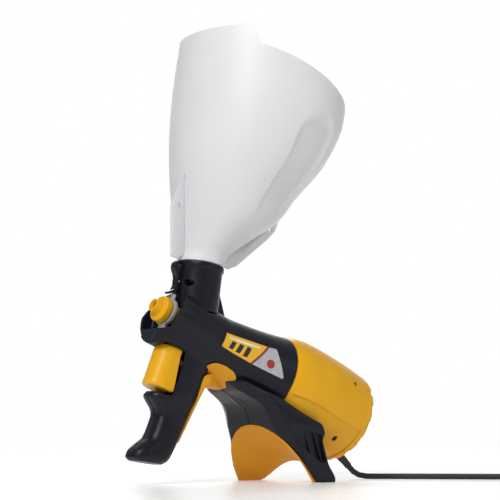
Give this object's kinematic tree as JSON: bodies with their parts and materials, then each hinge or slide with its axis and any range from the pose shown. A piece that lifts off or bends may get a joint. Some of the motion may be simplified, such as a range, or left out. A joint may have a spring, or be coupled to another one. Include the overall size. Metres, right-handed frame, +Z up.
{
  "type": "electric texture sprayer",
  "caption": "Corded electric texture sprayer: pistol body with turbine motor, gravity-feed hopper, trigger, nozzle and splayed stand, with its cord coiled beside it.",
  "frame": {"origin": "on the ground, below the centre of the gun's box without the cord", "axes": "+X from the nozzle towards the cord end, +Y to the gun's far side as the nozzle points left, +Z up"},
  "size_m": [0.5802, 0.2514, 0.461],
  "materials": {
    "black_plastic": "satin moulded",
    "yellow_plastic": "satin moulded",
    "hopper_plastic": "milky, blow-moulded",
    "grey_plastic": "satin",
    "label_print": "printed film",
    "steel": "bright",
    "brass": "bright",
    "copper": "bright",
    "rubber": "matt",
    "seal_rubber": "matt",
    "foam": "open-cell",
    "nylon": "natural"
  },
  "bodies": {
    "gun": {"air_duct": "black_plastic", "air_tube": "nylon", "back_strap": "yellow_plastic", "barrel_bulkhead": "black_plastic", "brush_left": "rubber", "brush_right": "rubber", "cord": "rubber", "cord_coil": "rubber", "cord_tail": "rubber", "cover_screw_lower": "steel", "cover_screw_upper": "steel", "feed_spout": "black_plastic", "filter_foam": "foam", "front_bearing": "steel", "front_bracket": "grey_plastic", "front_winding": "copper", "housing_left": "black_plastic", "housing_right": "black_plastic", "inlet_grille": "black_plastic", "label_left": "label_print", "label_right": "label_print", "latch_pin": "steel", "motor_cover_left": "yellow_plastic", "motor_cover_right": "yellow_plastic", "motor_mount_ring": "rubber", "needle_gland": "brass", "needle_spring": "steel", "nozzle_seal": "seal_rubber", "plug_blade_a": "brass", "plug_blade_b": "brass", "plug_body": "rubber", "rear_bearing": "steel", "rear_bracket": "grey_plastic", "rear_cap": "yellow_plastic", "rear_winding": "copper", "spout_seal": "seal_rubber", "stand_liner": "yellow_plastic", "stator": "steel", "strain_relief": "rubber", "switch_body": "black_plastic", "switch_lead": "rubber", "trigger_pin_left": "steel", "trigger_pin_right": "steel", "trigger_spring": "steel", "turbine_shroud": "grey_plastic"},
    "trigger": {"trigger": "yellow_plastic"},
    "needle": {"needle_rod": "steel", "pull_yoke": "nylon"},
    "plunger": {"switch_plunger": "nylon"},
    "lock_ring": {"lock_ring": "grey_plastic"},
    "nozzle": {"nozzle_cap": "yellow_plastic", "fluid_seat": "brass"},
    "hopper": {"hopper": "hopper_plastic"},
    "latch": {"latch_lever": "black_plastic"},
    "rotor": {"motor_shaft": "steel", "impeller": "nylon", "armature": "steel", "commutator": "copper"}
  },
  "joints": [
    {"name": "trigger_hinge", "type": "hinge", "parent": "gun", "child": "trigger", "pos_m": [-0.08978, 0, 0.1577], "axis": [0, -1, 0], "range_deg": [0, 9], "stiffness_Nm_per_rad": 1.2, "springref_deg": -6.88, "deforming": ["trigger_spring", "needle_spring"]},
    {"name": "needle_slide", "type": "slide", "parent": "gun", "child": "needle", "axis": [0.9304, 0, -0.3665], "range_m": [0, 0.0029]},
    {"name": "switch_press", "type": "slide", "parent": "gun", "child": "plunger", "axis": [0.9304, 0, -0.3665], "range_m": [0, 0.0055]},
    {"name": "lock_ring_turn", "type": "hinge", "parent": "gun", "child": "lock_ring", "pos_m": [-0.10561, 0, 0.1677], "axis": [-0.9304, 0, 0.3665], "range_deg": [0, 40]},
    {"name": "nozzle_pull", "type": "slide", "parent": "gun", "child": "nozzle", "axis": [-0.9304, 0, 0.3665], "range_m": [0, 0.02]},
    {"name": "hopper_lift", "type": "slide", "parent": "gun", "child": "hopper", "axis": [0.1564, 0, 0.9877], "range_m": [0, 0.06]},
    {"name": "latch_hinge", "type": "hinge", "parent": "gun", "child": "latch", "pos_m": [-0.09431, 0, 0.199], "axis": [0, -1, 0], "range_deg": [0, 5.5], "stiffness_Nm_per_rad": 0.3, "springref_deg": -5.73},
    {"name": "rotor_spin", "type": "hinge", "parent": "gun", "child": "rotor", "pos_m": [0.0753, 0, 0.08837], "axis": [0.9304, 0, -0.3665], "continuous": true}
  ],
  "couplings": [
    {"joint": "needle_slide", "follows": "trigger_hinge", "m_per_rad": 0.018},
    {"joint": "switch_press", "follows": "trigger_hinge", "m_per_rad": 0.0345}
  ]
}
